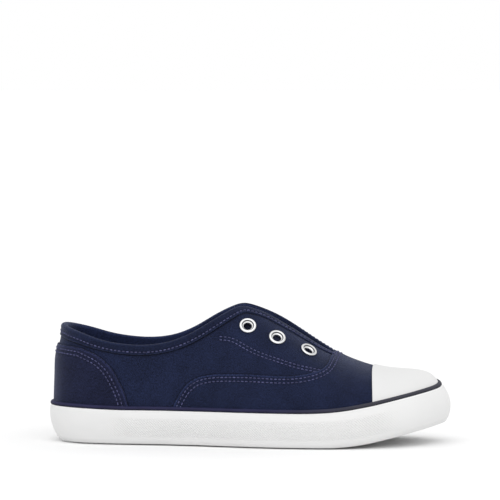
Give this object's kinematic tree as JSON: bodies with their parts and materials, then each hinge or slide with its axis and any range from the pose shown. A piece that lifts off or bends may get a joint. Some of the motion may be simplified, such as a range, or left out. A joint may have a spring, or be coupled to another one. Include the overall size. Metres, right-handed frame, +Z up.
{
  "type": "canvas sneaker",
  "caption": "Laceless low canvas sneaker with a white rubber sidewall and toe cap, metal eyelets along the throat and an elastic gusset",
  "frame": {"origin": "under the middle of the shoe's box, on the floor", "axes": "+X to the toe, +Y to the inner side of the foot, +Z up"},
  "size_m": [0.2604, 0.0952, 0.0892],
  "materials": {
    "outsole_rubber": "white rubber, matt, with moulded tread",
    "sidewall_rubber": "white rubber, satin, with a fine moulded diamond texture",
    "stripe_rubber": "navy rubber bead, satin",
    "canvas": "navy plain-weave cotton canvas",
    "toe_cap_rubber": "white, smooth, satin",
    "counter_canvas": "navy canvas over a stiffener",
    "elastic": "dark navy ribbed elastic",
    "insole_textile": "navy textile over foam",
    "eyelet_metal": "bright nickel plate"
  },
  "bodies": {
    "root": {"outsole": "outsole_rubber", "foxing": "sidewall_rubber", "foxing_stripe": "stripe_rubber", "upper": "canvas", "toe_cap": "toe_cap_rubber", "heel_counter": "counter_canvas", "elastic_gusset": "elastic", "insole": "insole_textile", "eyelet_lateral_1": "eyelet_metal", "eyelet_lateral_2": "eyelet_metal", "eyelet_lateral_3": "eyelet_metal", "eyelet_medial_1": "eyelet_metal", "eyelet_medial_2": "eyelet_metal", "eyelet_medial_3": "eyelet_metal"}
  },
  "joints": []
}
